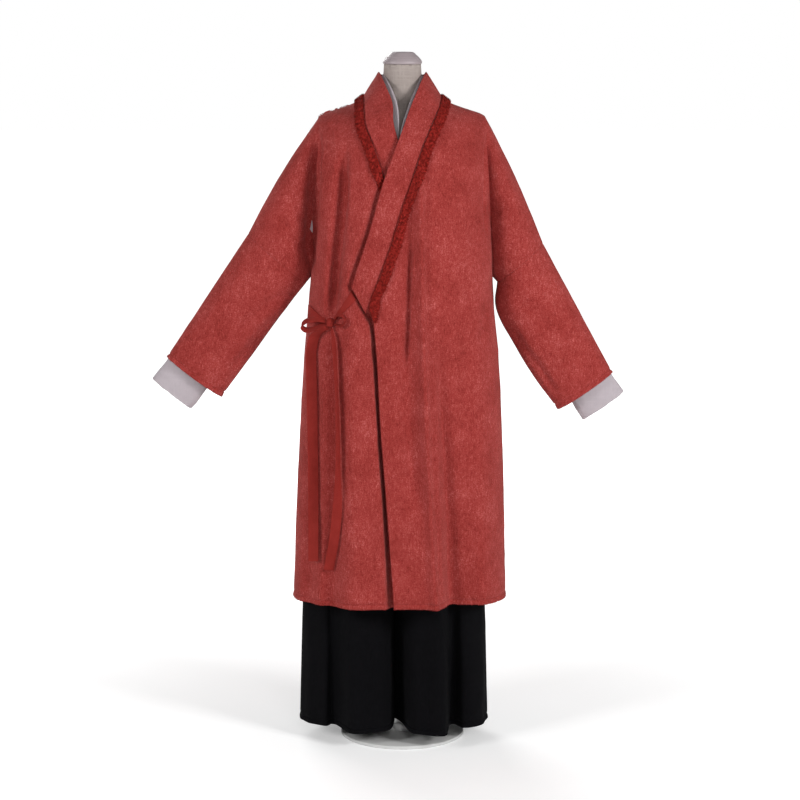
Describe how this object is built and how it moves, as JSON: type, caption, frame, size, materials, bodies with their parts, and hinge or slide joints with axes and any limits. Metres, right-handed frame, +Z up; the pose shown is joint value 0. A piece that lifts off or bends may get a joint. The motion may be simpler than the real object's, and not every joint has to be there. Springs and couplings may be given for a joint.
{
  "type": "cross-collar robe and trousers set on a limbless dress form",
  "caption": "Long cross-collar wrap robe with side-tied bow over a pale under-top and wide dark trousers, standing on a limbless linen dress form with a round base.",
  "frame": {"origin": "middle of the stand's underside, on the floor", "axes": "+Z up the stand's pole, -Y out of the robe's front, +X towards the wearer's left, which is the right of someone who looks at the front"},
  "size_m": [1.0962, 0.3177, 1.601],
  "materials": {
    "robe": "brushed woollen cloth with a short nap",
    "trim": "dark red pile trim",
    "tape": "plain woven tape, matt",
    "under": "plain thin weave, matt",
    "trousers": "plain draping weave, matt",
    "form": "linen cover over a firm body",
    "cap": "satin",
    "stand": "pale satin paint"
  },
  "bodies": {
    "root": {"robe_left_body": "robe", "robe_right_body": "robe", "robe_left_sleeve": "robe", "robe_right_sleeve": "robe", "robe_collar": "robe", "trim_left": "trim", "trim_right": "trim", "tie_side": "tape", "tie_collar": "tape", "tie_knot": "tape", "tie_bow_outer": "tape", "tie_bow_inner": "tape", "tie_end_outer": "tape", "tie_end_inner": "tape", "under_left_body": "under", "under_right_body": "under", "under_left_sleeve": "under", "under_right_sleeve": "under", "under_collar": "under", "trousers_left_front": "trousers", "trousers_left_back": "trousers", "trousers_right_front": "trousers", "trousers_right_back": "trousers", "trousers_waistband": "trousers", "form_torso": "form", "form_cap": "cap", "stand_pole": "stand", "stand_socket": "stand", "stand_base": "stand"}
  },
  "joints": []
}
